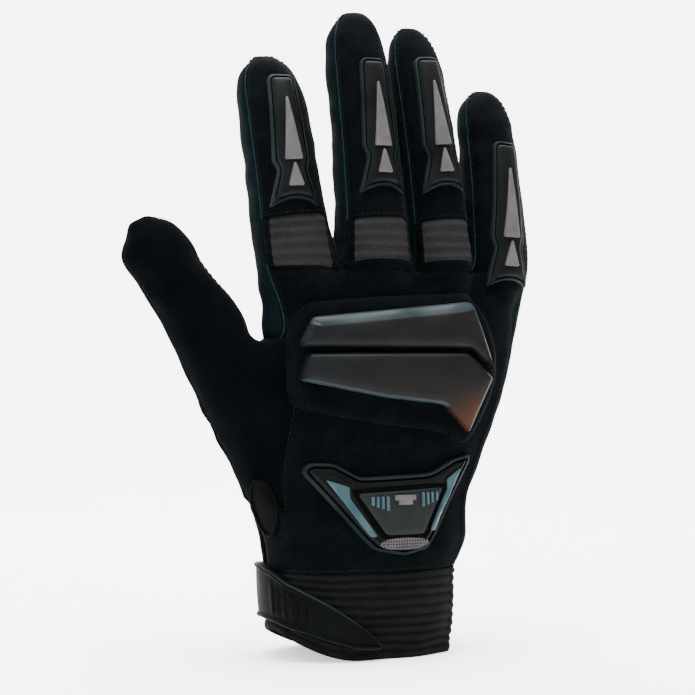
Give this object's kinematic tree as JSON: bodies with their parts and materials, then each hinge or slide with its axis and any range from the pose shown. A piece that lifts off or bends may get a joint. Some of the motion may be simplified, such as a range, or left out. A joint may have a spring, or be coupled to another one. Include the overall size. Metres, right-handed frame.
{
  "type": "riding glove",
  "caption": "Right-hand full-finger off-road riding glove in worn form, with moulded finger guards, knuckle plates and a ribbed short cuff with a strap.",
  "frame": {"origin": "middle of the wrist opening, at the hem's lowest level", "axes": "+Z from the hem to the fingertips, -Y out of the back of the hand, +Y out of the palm, -X to the thumb side"},
  "size_m": [0.1641, 0.0532, 0.2472],
  "materials": {
    "stretch_knit": "matte black knit",
    "synthetic_suede": "matte black synthetic suede",
    "side_mesh": "dark blue-green mesh",
    "accordion_knit": "matte grey ribbed knit",
    "ribbed_elastic": "matte black ribbed elastic",
    "strap_rubber": "satin moulded rubber",
    "moulded_rubber": "satin dark grey",
    "knuckle_shell": "satin dark brown-grey",
    "reflective_grey": "matte light grey",
    "raised_print": "satin mid grey",
    "badge_stripe": "satin pale blue-grey"
  },
  "bodies": {
    "root": {"hand_back": "stretch_knit", "palm": "synthetic_suede", "thumb_back": "stretch_knit", "thumb_palm": "synthetic_suede", "cuff_back": "ribbed_elastic", "cuff_palm": "ribbed_elastic", "cuff_binding": "ribbed_elastic", "wrist_strap": "strap_rubber", "index_side": "side_mesh", "little_side": "side_mesh", "fourchette_index_middle": "side_mesh", "fourchette_middle_ring": "side_mesh", "fourchette_ring_little": "side_mesh", "knuckle_pad": "stretch_knit", "knuckle_plate_upper": "knuckle_shell", "knuckle_plate_lower": "knuckle_shell", "badge_base": "moulded_rubber", "badge_core": "raised_print", "badge_stripe_left": "badge_stripe", "badge_stripe_right": "badge_stripe", "badge_tab": "reflective_grey", "badge_oval": "reflective_grey", "thumb_root_patch": "moulded_rubber", "finger_back_index": "stretch_knit", "guard_index": "moulded_rubber", "inlay_long_index": "reflective_grey", "inlay_short_index": "reflective_grey", "stretch_index": "accordion_knit", "finger_back_middle": "stretch_knit", "guard_middle": "moulded_rubber", "inlay_long_middle": "reflective_grey", "inlay_short_middle": "reflective_grey", "stretch_middle": "accordion_knit", "finger_back_ring": "stretch_knit", "guard_ring": "moulded_rubber", "inlay_long_ring": "reflective_grey", "inlay_short_ring": "reflective_grey", "stretch_ring": "accordion_knit", "finger_back_little": "stretch_knit", "guard_little": "moulded_rubber", "inlay_long_little": "reflective_grey", "inlay_short_little": "reflective_grey", "badge_bar_left_1": "reflective_grey", "badge_bar_left_2": "reflective_grey", "badge_bar_left_3": "reflective_grey", "badge_bar_left_4": "reflective_grey", "badge_bar_right_1": "reflective_grey", "badge_bar_right_2": "reflective_grey", "badge_bar_right_3": "reflective_grey", "badge_bar_right_4": "reflective_grey"}
  },
  "joints": []
}
